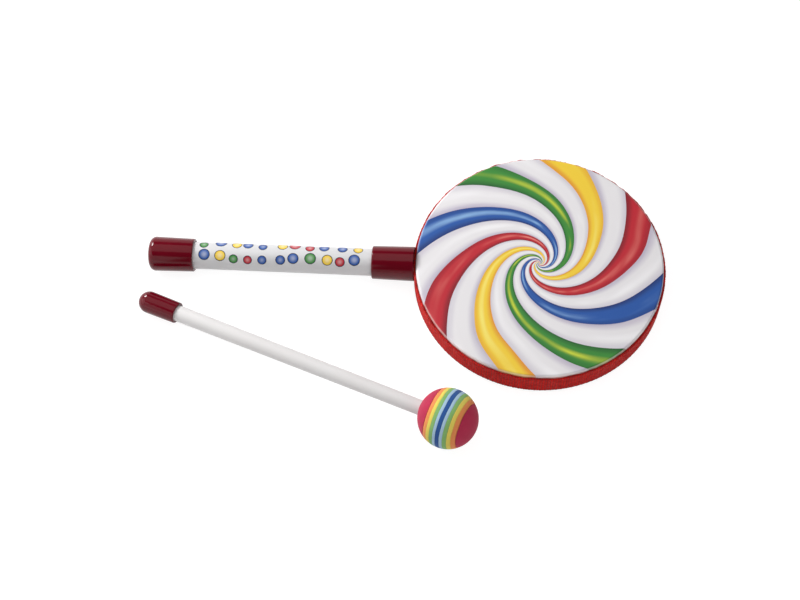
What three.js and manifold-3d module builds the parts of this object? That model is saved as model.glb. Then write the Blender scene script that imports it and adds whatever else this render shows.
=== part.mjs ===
// A lollipop drum: a shallow hand drum on a straight tube handle, with its foam ball mallet beside it.
// Millimetres, +Z up. Both lie on a table at z = 0, the drum on its open back with its handle towards -X.
// The origin is on the table, under the middle of the whole set.

import * as THREE from 'three';
import { mergeVertices } from 'three/addons/utils/BufferGeometryUtils.js';
import Module from 'manifold-3d';

const wasm = await Module();
wasm.setup();

// Fits
const FIT_GAP = 0.3; // left between two pieces that touch
const SCREW_CLEARANCE = 0.3; // round a screw in its hole, on the radius
const GLUE_LINE = 0.3; // between two foam layers of the ball

// Shell, the hoop that everything else on the drum is fixed to
const SHELL_DIAMETER = 254;
const SHELL_DEPTH = 30;
const SHELL_WALL = 5;
const SHELL_EDGE_RADIUS = 2; // the outer top edge that the head is drawn over
const BEARING_EDGE_DROP = 1.5; // how far the top edge falls away towards the inside
const SHELL_BACK_CHAMFER = 0.8;

// Head, a printed film with a collar that comes down outside the shell
const HEAD_THICKNESS = 0.4;
const HEAD_COLLAR_DEPTH = 7.2;

// Webbing glued round the rim, its two ends meeting behind the handle
const WEBBING_WIDTH = 26.6;
const WEBBING_THICKNESS = 2.1;
const WEBBING_LIFT = 0.4; // its lower edge above the shell's back
const WEBBING_SEAM = 0.8;

// Handle tube and its two push-on caps
const TUBE_DIAMETER = 28.6;
const TUBE_WALL = 2.6;
const TUBE_LENGTH = 272.2;
const CAP_WALL = 3.5;
const CAP_TAPER = 0.75; // the wall is this much thinner at the open end
const FRONT_CAP_LENGTH = 43.2;
const REAR_CAP_LENGTH = 47.4;
const CAP_END_THICKNESS = 2.5;
const CAP_LEAST_WALL = 0.6; // what a rounded corner leaves round the square corner inside
const FRONT_CAP_CORNER = 1.5;
const REAR_CAP_CORNER = 6.5;

// Dowel in the tube's front end, which two screws pull against the shell
const PLUG_LENGTH = 40;
const SCREW_SPACING = 14;
const SCREW_LENGTH = 32;
const SCREW_DIAMETER = 4.2;
const SCREW_TIP_LENGTH = 4;
const SCREW_HEAD_DIAMETER = 8;
const SCREW_HEAD_HEIGHT = 2.6;
const RECESS_LENGTH = 4.4;
const RECESS_WIDTH = 0.9;
const RECESS_DEPTH = 1.3;
const WASHER_DIAMETER = 10;
const WASHER_THICKNESS = 1.2;
const HOLE_RUNOUT = 2; // how far a screw hole runs on past the screw's tip

// Mallet stick, a tapered tube, and the domed cap on its grip end
const STICK_LENGTH = 349.8;
const STICK_GRIP_DIAMETER = 17.2;
const STICK_TIP_DIAMETER = 15.2;
const STICK_WALL = 1.8;
const STICK_PAST_CENTRE = 10.2; // how far the stick's tip goes past the ball's centre
const GRIP_CAP_WALL = 2.7;
const GRIP_CAP_TAPER = 0.5;
const GRIP_CAP_LENGTH = 45.2;

// Mallet ball, laid up from foam sheets, alike on both sides of the blue one
const BALL_DIAMETER = 60.4;
const BLUE_SHEET = 4.2;
const SKY_SHEET = 3;
const GREEN_SHEET = 3.8;
const YELLOW_SHEET = 3.8;
const ORANGE_SHEET = 3.9;
const SHEETS_PAST_CENTRE = 2.6; // how far the blue sheet's middle is past the ball's centre
const SHEETS_LEAN_DEGREES = 2.9; // the sheets are not quite square to the stick: their axis is tipped up
const SHEETS_TURN_DEGREES = 2.3; // and turned aside, away from the drum

// Where the mallet lies beside the drum
const BALL_BEARING_DEGREES = 244; // of the ball from the drum's axis, from +X
const BALL_TO_RIM = 36.1;
const GRIP_TO_HANDLE = 24.7; // between the grip cap's side and the handle caps' side

// Facets: sides of what is turned, and divisions of a curve in a profile
const DRUM_SIDES = 64;
const HANDLE_SIDES = 36;
const STICK_SIDES = 28;
const BALL_SIDES = 32;
const SCREW_SIDES = 16;
const DOME_DIVISIONS = 3;
const CORNER_DIVISIONS = 2;
const SHEET_DIVISIONS = 1;

// Radii and places that follow from the sizes above
const shellRadius = SHELL_DIAMETER / 2;
const shellInside = shellRadius - SHELL_WALL;
const shellEdge = Math.min(SHELL_EDGE_RADIUS, SHELL_WALL);
const headInside = shellRadius + FIT_GAP;
const headOutside = headInside + HEAD_THICKNESS;
const webbingInside = headOutside + FIT_GAP;
const rimRadius = webbingInside + WEBBING_THICKNESS;
const tubeRadius = TUBE_DIAMETER / 2;
const capInside = tubeRadius + FIT_GAP;
const capRadius = capInside + CAP_WALL;
const frontCapEnd = rimRadius + FIT_GAP;
const frontCapSaddle = frontCapEnd - Math.sqrt(frontCapEnd ** 2 - capRadius ** 2); // round the rim at its sides
const tubeFront = frontCapEnd + CAP_END_THICKNESS + FIT_GAP;
const tubeRear = tubeFront + TUBE_LENGTH;
const rearCapEnd = tubeRear + FIT_GAP + CAP_END_THICKNESS;
const screwRadius = SCREW_DIAMETER / 2;
const washerRadius = WASHER_DIAMETER / 2;
const gripCapInside = STICK_GRIP_DIAMETER / 2 + FIT_GAP;
const gripCapRadius = gripCapInside + GRIP_CAP_WALL;
const ballRadius = BALL_DIAMETER / 2;
const malletReach = STICK_LENGTH - STICK_PAST_CENTRE; // from the grip cap's dome centre to the ball's

// The washers are flat and the shell is round, so they stop where their outer edges would meet it.
const shellFlat = shellInside * Math.cos(Math.PI / DRUM_SIDES);
const washerSeat = Math.sqrt(shellFlat ** 2 - (SCREW_SPACING / 2 + washerRadius) ** 2) - FIT_GAP;
const screwSeat = washerSeat - WASHER_THICKNESS - FIT_GAP;

const FINISHES = {
  fibreboard: { color: 0x8a6844, roughness: 0.8, metalness: 0 },
  film: { color: 0xece6e8, roughness: 0.35, metalness: 0 },
  webbing: { color: 0xb3261f, roughness: 0.85, metalness: 0 },
  tube: { color: 0xf1efec, roughness: 0.4, metalness: 0 },
  vinyl: { color: 0x6b0f1a, roughness: 0.2, metalness: 0 },
  dowel: { color: 0xc9a36b, roughness: 0.7, metalness: 0 },
  steel: { color: 0xb9bcc0, roughness: 0.35, metalness: 1 },
  magenta: { color: 0xc93a63, roughness: 0.9, metalness: 0 },
  orange: { color: 0xee8a46, roughness: 0.9, metalness: 0 },
  yellow: { color: 0xf0da62, roughness: 0.9, metalness: 0 },
  green: { color: 0x6fae52, roughness: 0.9, metalness: 0 },
  sky: { color: 0x9dbfd8, roughness: 0.9, metalness: 0 },
  blue: { color: 0x23549c, roughness: 0.9, metalness: 0 },
};

// A closed body: shared corners merged, and nothing left where a profile's edge lies on its axis.
function closed(geometry) {
  const bare = new THREE.BufferGeometry();
  bare.setAttribute('position', geometry.getAttribute('position'));
  bare.setIndex(geometry.getIndex());
  const body = mergeVertices(bare);
  const corners = Array.from(body.getIndex().array);
  const triangles = [];
  for (let first = 0; first < corners.length; first += 3) {
    const triangle = corners.slice(first, first + 3);
    if (new Set(triangle).size === triangle.length) triangles.push(...triangle);
  }
  body.setIndex(triangles);
  return body;
}

function turned(profile, divisions, sides) {
  return closed(new THREE.LatheGeometry(profile.getPoints(divisions), sides));
}

// Turned about Z where turned() turns about Y
function turnedUpright(profile, divisions, sides) {
  return turned(profile, divisions, sides).rotateX(Math.PI / 2);
}

function ring(inside, outside, start, end) {
  return new THREE.Path()
    .moveTo(inside, start)
    .lineTo(outside, start)
    .lineTo(outside, end)
    .lineTo(inside, end)
    .closePath();
}

function solid(geometry) {
  const body = closed(geometry);
  const vertProperties = new Float32Array(body.getAttribute('position').array);
  const triVerts = new Uint32Array(body.getIndex().array);
  return new wasm.Manifold(new wasm.Mesh({ numProp: 3, vertProperties, triVerts }));
}

function cut(geometry, cutters) {
  let body = solid(geometry);
  for (const cutter of cutters) {
    body = body.subtract(solid(cutter));
  }
  const mesh = body.getMesh();
  const result = new THREE.BufferGeometry();
  result.setAttribute('position', new THREE.BufferAttribute(mesh.vertProperties, mesh.numProp));
  result.setIndex(new THREE.BufferAttribute(mesh.triVerts, 1));
  return result;
}

function piece(name, geometry, finish) {
  const material = new THREE.MeshStandardMaterial({ ...FINISHES[finish], flatShading: true });
  const mesh = new THREE.Mesh(geometry, material);
  mesh.name = name;
  return mesh;
}

// The handle's own frame runs along +Y, out from the drum's axis, with the caps resting on the table.
const handle = new THREE.Group();
handle.rotation.z = Math.PI / 2;
handle.position.z = capRadius;
handle.updateMatrix();

const SCREW_SIDE = { left: -1, right: 1 };

function screwOffset(side) {
  return SCREW_SIDE[side] * SCREW_SPACING / 2;
}

// Two holes in the handle's frame, from inside the shell to just past the screws' tips
function screwHoles() {
  const radius = screwRadius + SCREW_CLEARANCE;
  const length = SCREW_LENGTH + HOLE_RUNOUT;
  return Object.keys(SCREW_SIDE).map((side) => {
    const hole = new THREE.CylinderGeometry(radius, radius, length, SCREW_SIDES);
    return hole.translate(screwOffset(side), screwSeat + length / 2, 0);
  });
}

function screwHolesInDrum() {
  return screwHoles().map((hole) => hole.applyMatrix4(handle.matrix));
}

function shellHoop() {
  const crown = shellRadius - shellEdge;
  const profile = new THREE.Path()
    .moveTo(shellInside + SHELL_BACK_CHAMFER, 0)
    .lineTo(shellRadius - SHELL_BACK_CHAMFER, 0)
    .lineTo(shellRadius, SHELL_BACK_CHAMFER)
    .absarc(crown, SHELL_DEPTH - shellEdge, shellEdge, 0, Math.PI / 2)
    .lineTo(shellInside, SHELL_DEPTH - BEARING_EDGE_DROP)
    .lineTo(shellInside, SHELL_BACK_CHAMFER)
    .closePath();
  const hoop = turnedUpright(profile, CORNER_DIVISIONS, DRUM_SIDES);
  return piece('shell_hoop', cut(hoop, screwHolesInDrum()), 'fibreboard');
}

function drumHead() {
  const crown = shellRadius - shellEdge;
  const bend = SHELL_DEPTH - shellEdge;
  const under = SHELL_DEPTH + FIT_GAP;
  const collar = SHELL_DEPTH - HEAD_COLLAR_DEPTH;
  const profile = new THREE.Path()
    .moveTo(0, under)
    .lineTo(crown, under)
    .absarc(crown, bend, shellEdge + FIT_GAP, Math.PI / 2, 0, true)
    .lineTo(headInside, collar)
    .lineTo(headOutside, collar)
    .absarc(crown, bend, shellEdge + FIT_GAP + HEAD_THICKNESS, 0, Math.PI / 2)
    .lineTo(0, under + HEAD_THICKNESS);
  const film = turnedUpright(profile, CORNER_DIVISIONS, DRUM_SIDES);
  return piece('drum_head', cut(film, screwHolesInDrum()), 'film');
}

function rimWebbing() {
  const top = WEBBING_LIFT + WEBBING_WIDTH;
  const band = turnedUpright(ring(webbingInside, rimRadius, WEBBING_LIFT, top), CORNER_DIVISIONS, DRUM_SIDES);
  const seam = new THREE.BoxGeometry(SHELL_WALL, WEBBING_SEAM, top * 2);
  seam.translate(-(webbingInside + rimRadius) / 2, 0, top);
  return piece('rim_webbing', cut(band, [seam, ...screwHolesInDrum()]), 'webbing');
}

// A push-on cap, its closed end at y = 0 and its mouth towards +Y
function handleCap(length, endThickness, corner) {
  const room = 2 * (CAP_WALL - CAP_LEAST_WALL) * (endThickness - CAP_LEAST_WALL);
  const largest = CAP_WALL + endThickness - CAP_LEAST_WALL + Math.sqrt(room);
  const radius = Math.min(corner, largest);
  const profile = new THREE.Path()
    .moveTo(0, 0)
    .lineTo(capRadius - radius, 0)
    .absarc(capRadius - radius, radius, radius, -Math.PI / 2, 0)
    .lineTo(capRadius - CAP_TAPER, length)
    .lineTo(capInside, length)
    .lineTo(capInside, endThickness)
    .lineTo(0, endThickness);
  return turned(profile, CORNER_DIVISIONS, HANDLE_SIDES);
}

// The soft front cap is pulled against the rim, so its end is hollowed to the rim's curve.
function frontCap() {
  const length = FRONT_CAP_LENGTH + frontCapSaddle;
  const cap = handleCap(length, CAP_END_THICKNESS + frontCapSaddle, FRONT_CAP_CORNER);
  cap.translate(0, frontCapEnd - frontCapSaddle, 0);
  const rim = new THREE.CylinderGeometry(frontCapEnd, frontCapEnd, capRadius * 4, DRUM_SIDES);
  rim.rotateX(Math.PI / 2);
  return piece('front_cap', cut(cap, [rim, ...screwHoles()]), 'vinyl');
}

function rearCap() {
  const cap = piece('rear_cap', handleCap(REAR_CAP_LENGTH, CAP_END_THICKNESS, REAR_CAP_CORNER), 'vinyl');
  cap.rotation.z = Math.PI;
  cap.position.y = rearCapEnd;
  return cap;
}

function handleTube() {
  const profile = ring(tubeRadius - TUBE_WALL, tubeRadius, tubeFront, tubeRear);
  return piece('handle_tube', turned(profile, CORNER_DIVISIONS, HANDLE_SIDES), 'tube');
}

function handlePlug() {
  const radius = tubeRadius - TUBE_WALL - FIT_GAP;
  const profile = new THREE.Path()
    .moveTo(0, tubeFront)
    .lineTo(radius, tubeFront)
    .lineTo(radius, tubeFront + PLUG_LENGTH)
    .lineTo(0, tubeFront + PLUG_LENGTH);
  const dowel = turned(profile, CORNER_DIVISIONS, HANDLE_SIDES);
  return piece('handle_plug', cut(dowel, screwHoles()), 'dowel');
}

// A pan head screw with a cross recess, its head's underside at y = 0 and its tip towards +Y
function handleScrew(side) {
  const profile = new THREE.Path()
    .moveTo(0, -SCREW_HEAD_HEIGHT)
    .quadraticCurveTo(SCREW_HEAD_DIAMETER / 2, -SCREW_HEAD_HEIGHT, SCREW_HEAD_DIAMETER / 2, 0)
    .lineTo(screwRadius, 0)
    .lineTo(screwRadius, SCREW_LENGTH - SCREW_TIP_LENGTH)
    .lineTo(0, SCREW_LENGTH);
  const slot = new THREE.BoxGeometry(RECESS_LENGTH, RECESS_DEPTH * 2, RECESS_WIDTH);
  slot.translate(0, -SCREW_HEAD_HEIGHT, 0);
  const crossSlot = slot.clone().rotateY(Math.PI / 2);
  const blank = turned(profile, CORNER_DIVISIONS * 2, SCREW_SIDES);
  const screw = piece(`handle_screw_${side}`, cut(blank, [slot, crossSlot]), 'steel');
  screw.position.set(screwOffset(side), screwSeat, 0);
  return screw;
}

function screwWasher(side) {
  const profile = ring(screwRadius + SCREW_CLEARANCE, washerRadius, 0, WASHER_THICKNESS);
  const washer = piece(`screw_washer_${side}`, turned(profile, CORNER_DIVISIONS, SCREW_SIDES), 'steel');
  washer.position.set(screwOffset(side), washerSeat - WASHER_THICKNESS, 0);
  return washer;
}

// The mallet's own frame has its origin at the ball's centre, with +Y out through the ball's tip.
function stickRadiusAt(y) {
  const share = (y + malletReach) / STICK_LENGTH;
  return THREE.MathUtils.lerp(STICK_GRIP_DIAMETER, STICK_TIP_DIAMETER, share) / 2;
}

function malletStick() {
  const grip = stickRadiusAt(-malletReach);
  const tip = stickRadiusAt(STICK_PAST_CENTRE);
  const profile = new THREE.Path()
    .moveTo(grip - STICK_WALL, -malletReach)
    .lineTo(grip, -malletReach)
    .lineTo(tip, STICK_PAST_CENTRE)
    .lineTo(tip - STICK_WALL, STICK_PAST_CENTRE)
    .closePath();
  return piece('mallet_stick', turned(profile, CORNER_DIVISIONS, STICK_SIDES), 'tube');
}

function malletGripCap() {
  const mouth = -malletReach - gripCapRadius + GRIP_CAP_LENGTH;
  const profile = new THREE.Path()
    .absarc(0, -malletReach, gripCapRadius, -Math.PI / 2, 0)
    .lineTo(gripCapRadius - GRIP_CAP_TAPER, mouth)
    .lineTo(gripCapInside, mouth)
    .absarc(0, -malletReach, gripCapInside, 0, -Math.PI / 2, true);
  return piece('mallet_grip_cap', turned(profile, DOME_DIVISIONS, STICK_SIDES), 'vinyl');
}

// The ball's own frame has its origin at the ball's centre too, with +Y square to the sheets.
const ball = new THREE.Group();
ball.rotation.x = THREE.MathUtils.degToRad(SHEETS_LEAN_DEGREES);
ball.rotation.z = -THREE.MathUtils.degToRad(SHEETS_TURN_DEGREES);
ball.updateMatrix();

// The hole for the stick, in the ball's frame, which runs out of the ball on the grip side
function stickBore() {
  const radius = stickRadiusAt(-ballRadius) + FIT_GAP;
  const length = BALL_DIAMETER;
  const bore = new THREE.CylinderGeometry(radius, radius, length, STICK_SIDES);
  bore.translate(0, STICK_PAST_CENTRE + FIT_GAP - length / 2, 0);
  return bore.applyMatrix4(ball.matrix.clone().invert());
}

// One slice of the ball, between two heights across its sheets, with the stick's hole as deep as it reaches
function ballSlice(name, from, to, finish, divisions) {
  const start = Math.asin(from / ballRadius);
  const profile = new THREE.Path()
    .moveTo(0, from)
    .lineTo(ballRadius * Math.cos(start), from)
    .absarc(0, 0, ballRadius, start, Math.asin(to / ballRadius))
    .lineTo(0, to);
  const slice = turned(profile, divisions, BALL_SIDES);
  return piece(name, cut(slice, [stickBore()]), finish);
}

function foamBall() {
  const sheets = [
    ['sky', SKY_SHEET],
    ['green', GREEN_SHEET],
    ['yellow', YELLOW_SHEET],
    ['orange', ORANGE_SHEET],
  ];
  const half = GLUE_LINE / 2;
  const middle = SHEETS_PAST_CENTRE;
  let reached = BLUE_SHEET / 2;
  const blueHalf = reached - half;
  ball.add(ballSlice('ball_sheet_blue', middle - blueHalf, middle + blueHalf, 'blue', SHEET_DIVISIONS));
  for (const [colour, thickness] of sheets) {
    const near = reached + half;
    reached += thickness;
    const far = reached - half;
    const name = `ball_sheet_${colour}`;
    ball.add(ballSlice(`${name}_grip_side`, middle - far, middle - near, colour, SHEET_DIVISIONS));
    ball.add(ballSlice(`${name}_tip_side`, middle + near, middle + far, colour, SHEET_DIVISIONS));
  }
  const near = reached + half;
  ball.add(ballSlice('ball_end_magenta_grip_side', -ballRadius, middle - near, 'magenta', DOME_DIVISIONS));
  ball.add(ballSlice('ball_end_magenta_tip_side', middle + near, ballRadius, 'magenta', DOME_DIVISIONS));
  return ball;
}

function buildDrum() {
  const sides = Object.keys(SCREW_SIDE);
  handle.add(handleTube(), handlePlug(), frontCap(), rearCap());
  handle.add(...sides.map(handleScrew), ...sides.map(screwWasher));
  return new THREE.Group().add(shellHoop(), drumHead(), rimWebbing(), handle);
}

// The mallet rests on its ball and on its grip cap's dome, clear of the rim and of the handle.
function buildMallet() {
  const mallet = new THREE.Group().add(malletStick(), malletGripCap(), foamBall());
  const bearing = THREE.MathUtils.degToRad(BALL_BEARING_DEGREES);
  const distance = rimRadius + BALL_TO_RIM + ballRadius;
  const ballX = distance * Math.cos(bearing);
  const ballY = distance * Math.sin(bearing);
  const gripY = -(capRadius + GRIP_TO_HANDLE + gripCapRadius);
  const tilt = Math.asin((ballRadius - gripCapRadius) / malletReach);
  const heading = Math.asin((gripY - ballY) / (malletReach * Math.cos(tilt)));
  mallet.position.set(ballX, ballY, ballRadius);
  mallet.rotation.set(tilt, 0, -heading - Math.PI / 2, 'ZXY');
  return mallet;
}

const drumAndMallet = new THREE.Group().add(buildDrum(), buildMallet());
const box = new THREE.Box3().setFromObject(drumAndMallet, true);
const middle = box.getCenter(new THREE.Vector3());
drumAndMallet.position.set(-middle.x, -middle.y, -box.min.z);

export default drumAndMallet;
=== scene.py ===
import math

import bpy
import numpy as np
from mathutils import Matrix, Vector


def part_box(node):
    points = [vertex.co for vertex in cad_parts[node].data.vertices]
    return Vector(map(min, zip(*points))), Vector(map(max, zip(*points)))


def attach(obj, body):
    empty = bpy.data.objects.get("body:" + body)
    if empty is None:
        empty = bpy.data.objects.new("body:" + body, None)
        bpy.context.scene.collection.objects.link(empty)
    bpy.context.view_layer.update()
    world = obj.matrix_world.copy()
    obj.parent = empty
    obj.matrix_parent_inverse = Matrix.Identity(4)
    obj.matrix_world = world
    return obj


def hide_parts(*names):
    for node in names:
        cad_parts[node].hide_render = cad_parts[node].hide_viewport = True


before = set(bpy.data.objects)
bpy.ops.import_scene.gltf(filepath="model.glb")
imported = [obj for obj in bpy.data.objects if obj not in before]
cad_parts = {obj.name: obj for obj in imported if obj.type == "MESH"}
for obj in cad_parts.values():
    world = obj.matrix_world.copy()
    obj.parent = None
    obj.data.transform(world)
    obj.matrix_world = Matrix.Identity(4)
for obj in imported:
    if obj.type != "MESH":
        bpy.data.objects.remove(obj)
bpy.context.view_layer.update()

# Lollipop drum with its mallet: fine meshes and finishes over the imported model, in metres.

# Lengths on the object are given in MM and the studio's in metres. A noise's scale is per metre, and most
# plain fractions are shares of the size that they are multiplied with.
MM = 0.001
TAU = 2 * math.pi

# The photograph's camera, with its place measured from the middle of the drum's back
IMAGE_WIDTH = 800
FOCAL_PIXELS = 1400
SENSOR_WIDTH = 36
CAMERA_ELEVATION = math.radians(62.9)
CAMERA_AZIMUTH = math.radians(7.0)
CAMERA_ROLL = math.radians(-3.85)
CAMERA_FROM_DRUM = Vector((-61.68, -695.54, 1303.24)) * MM
CAMERA_REACH = 100

# Turned meshes
FINE_SIDES = 160
RIM_SIDES = 384
STICK_SIDES = 96
ARC_STEPS = 10
ON_AXIS = 1e-9
SHARP_ANGLE = math.radians(32)

# Drum
FILM_THICKNESS = 0.4 * MM
FILM_BEND = 2.7 * MM
FILM_PUCKER = 0.16 * MM
FILM_PUCKERS = 73
FILM_FINE_PUCKERS = 131
FILM_FACE_RINGS = (0.75, 0.5, 0.25)
FILM_BACK_RING = 0.5
HOOP_EASE = 0.6 * MM
HOOP_EDGE = 2 * MM
HOOP_BEARING_DROP = 1.5 * MM

# Webbing round the rim
WEAVE_COLUMNS = 300
WEAVE_ROWS = 15
WEAVE_STAGGER = 0.5
WEAVE_PITCH_FILL = 1.12
FLOAT_HEIGHT = 0.42 * MM
EDGE_ROUND = 0.45
EDGE_ROUND_STEPS = 3
LOOPS_PER_COLUMN = 2
LOOP_DEPTH = 0.62
LOOP_LENGTH = 0.56
LOOP_HEIGHT = 0.7
WEB_SEAM = 0.8 * MM
WEB_SWAY = 5 * MM
WEB_SWAY_SCALE = 105
WEB_SWAY_LEVEL = 0.58

# Handle and caps
TUBE_EASE = 0.4 * MM
FRONT_CAP_CORNER = 1.5 * MM
REAR_CAP_CORNER = 6.5 * MM
CAP_FIT = 0.03 * MM
CAP_LIP_STEPS = 12
CAP_CORNER_STEPS = 16
CAP_FACE_RINGS = (0.8, 0.6, 0.4, 0.2)
DOME_STEPS = 20
DOME_BORE_STEPS = 12

# Screws and washers
SCREW_SIDES = 32
SCREW_HEAD_HEIGHT = 2.6 * MM
PAN_FLAT = 0.72
PAN_SHOULDER = 0.6
PAN_STEPS = 5
SCREW_NECK = 0.8
SCREW_RECESS_WIDTH = 0.9 * MM
SCREW_RECESS_LENGTH = 4.4 * MM
SCREW_RECESS_DEPTH = 1.3 * MM
THREAD_PITCH = 1.8 * MM
THREAD_DEPTH = 0.55 * MM
THREAD_START = 0.4
THREAD_FLANK = 0.3
SCREW_TIP = 4 * MM
WASHER_SIDES = 48
WASHER_EASE = 0.2 * MM

# Mallet ball
BALL_SIDES = 128
BALL_RINGS = 28
BALL_OUTSIDE = 0.97
BORE_SIDES = 64
BORE_EASE = 0.15 * MM
GLUE_CLOSE = 0.14 * MM
FOAM_EDGE = 0.10 * MM
FOAM_EDGE_FROM = 0.72
FOAM_WANDER = 1.3 * MM
FOAM_WANDER_SCALE = 60
FOAM_MERGE = 0.002 * MM

# The walk round a foam sheet: half of it, and the part of that on a glued face
WALK_HALF = 1.5
WALK_FACE = 0.5


def srgb(red, green, blue):
    """A colour as it looks on a screen, from 0 to 255, in linear light for a socket."""
    def linear(level):
        share = level / 255
        return share / 12.92 if share <= 0.04045 else ((share + 0.055) / 1.055) ** 2.4
    return linear(red), linear(green), linear(blue), 1.0


# What model.glb says about the solids

def points_of(node):
    """The corners of a solid, each once, as rows of x, y and z."""
    corners = [vertex.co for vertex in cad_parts[node].data.vertices]
    return np.unique(np.round(np.array(corners, float), 7), axis=0)


class Extents:
    """How far a solid reaches along an axis, and how near to it and far from it it comes."""

    def __init__(self, along, across):
        self.low = float(along.min())
        self.high = float(along.max())
        self.inner = float(across.min())
        self.outer = float(across.max())
        upper = along > (self.low + self.high) / 2
        self.low_outer = float(across[~upper].max())
        self.high_outer = float(across[upper].max())


class Axis:
    """A line that pieces are turned about."""

    def __init__(self, start, direction):
        self.start = Vector(start)
        self.direction = Vector(direction).normalized()

    def extents(self, node):
        offsets = points_of(node) - np.array(self.start)
        along = offsets @ np.array(self.direction)
        across = np.linalg.norm(offsets - np.outer(along, self.direction), axis=1)
        return Extents(along, across)

    def place(self):
        """Takes a mesh that is turned about Z to its place on this axis."""
        turn = Vector((0, 0, 1)).rotation_difference(self.direction)
        return Matrix.Translation(self.start) @ turn.to_matrix().to_4x4()


def find_drum_axis():
    low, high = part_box("shell_hoop")
    return Axis(((low.x + high.x) / 2, (low.y + high.y) / 2, low.z), (0, 0, 1))


def find_handle_axis(drum):
    low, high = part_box("handle_tube")
    return Axis((drum.start.x, (low.y + high.y) / 2, (low.z + high.z) / 2), (-1, 0, 0))


def find_mallet_axis():
    """Along the stick, from its grip end."""
    corners = points_of("mallet_stick")
    at_tip = corners[:, 0] > corners[:, 0].mean()
    grip_end = corners[~at_tip].mean(axis=0)
    tip_end = corners[at_tip].mean(axis=0)
    return Axis(grip_end, Vector(tip_end) - Vector(grip_end))


def find_ball(stick):
    """The axis square to the ball's sheets, from the ball's middle towards the tip, and its radius."""
    corners = np.concatenate([points_of(node) for node in BALL_NODES])
    middle = (corners.min(axis=0) + corners.max(axis=0)) / 2
    reach = np.linalg.norm(corners - middle, axis=1)
    outside = corners[reach > BALL_OUTSIDE * reach.max()]
    rows = np.column_stack([2 * outside, np.ones(len(outside))])
    fit = np.linalg.lstsq(rows, (outside ** 2).sum(axis=1), rcond=None)[0]
    centre = Vector(fit[:3])
    radius = math.sqrt(fit[3] + centre.length_squared)
    dome = points_of("ball_end_magenta_tip_side")
    spread = np.cov((dome - dome.mean(axis=0)).T)
    square = Vector(np.linalg.eigh(spread)[1][:, 0])
    if square.dot(stick.direction) < 0:
        square.negate()
    return Axis(centre, square), radius


BALL_NODES = sorted(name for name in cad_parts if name.startswith("ball_"))
DRUM = find_drum_axis()
HANDLE = find_handle_axis(DRUM)
MALLET = find_mallet_axis()
SHEETS, BALL_RADIUS = find_ball(MALLET)
HEAD = DRUM.extents("drum_head")
TUBE = HANDLE.extents("handle_tube")
WEB = DRUM.extents("rim_webbing")

# The woven band, inside its floats and edge loops
BAND_RADIUS = WEB.outer - FLOAT_HEIGHT
BAND_LOW = WEB.low + FLOAT_HEIGHT
BAND_HIGH = WEB.high - FLOAT_HEIGHT
BAND_START = math.pi + WEB_SEAM / BAND_RADIUS / 2
BAND_SWEEP = TAU - WEB_SEAM / BAND_RADIUS


# Node trees, written as expressions

class Socket:
    """One output of a node, with the arithmetic that expressions use."""

    def __init__(self, graph, output):
        self.graph = graph
        self.output = output

    def __add__(self, other):
        return self.graph.maths("ADD", self, other)

    def __radd__(self, other):
        return self.graph.maths("ADD", other, self)

    def __sub__(self, other):
        return self.graph.maths("SUBTRACT", self, other)

    def __rsub__(self, other):
        return self.graph.maths("SUBTRACT", other, self)

    def __mul__(self, other):
        return self.graph.maths("MULTIPLY", self, other)

    def __rmul__(self, other):
        return self.graph.maths("MULTIPLY", other, self)

    def __truediv__(self, other):
        return self.graph.maths("DIVIDE", self, other)

    def __rtruediv__(self, other):
        return self.graph.maths("DIVIDE", other, self)

    def __mod__(self, other):
        return self.graph.maths("FLOORED_MODULO", self, other)

    def __gt__(self, other):
        return self.graph.maths("GREATER_THAN", self, other)

    def __lt__(self, other):
        return self.graph.maths("LESS_THAN", self, other)

    def __abs__(self):
        return self.graph.maths("ABSOLUTE", self)


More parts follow.
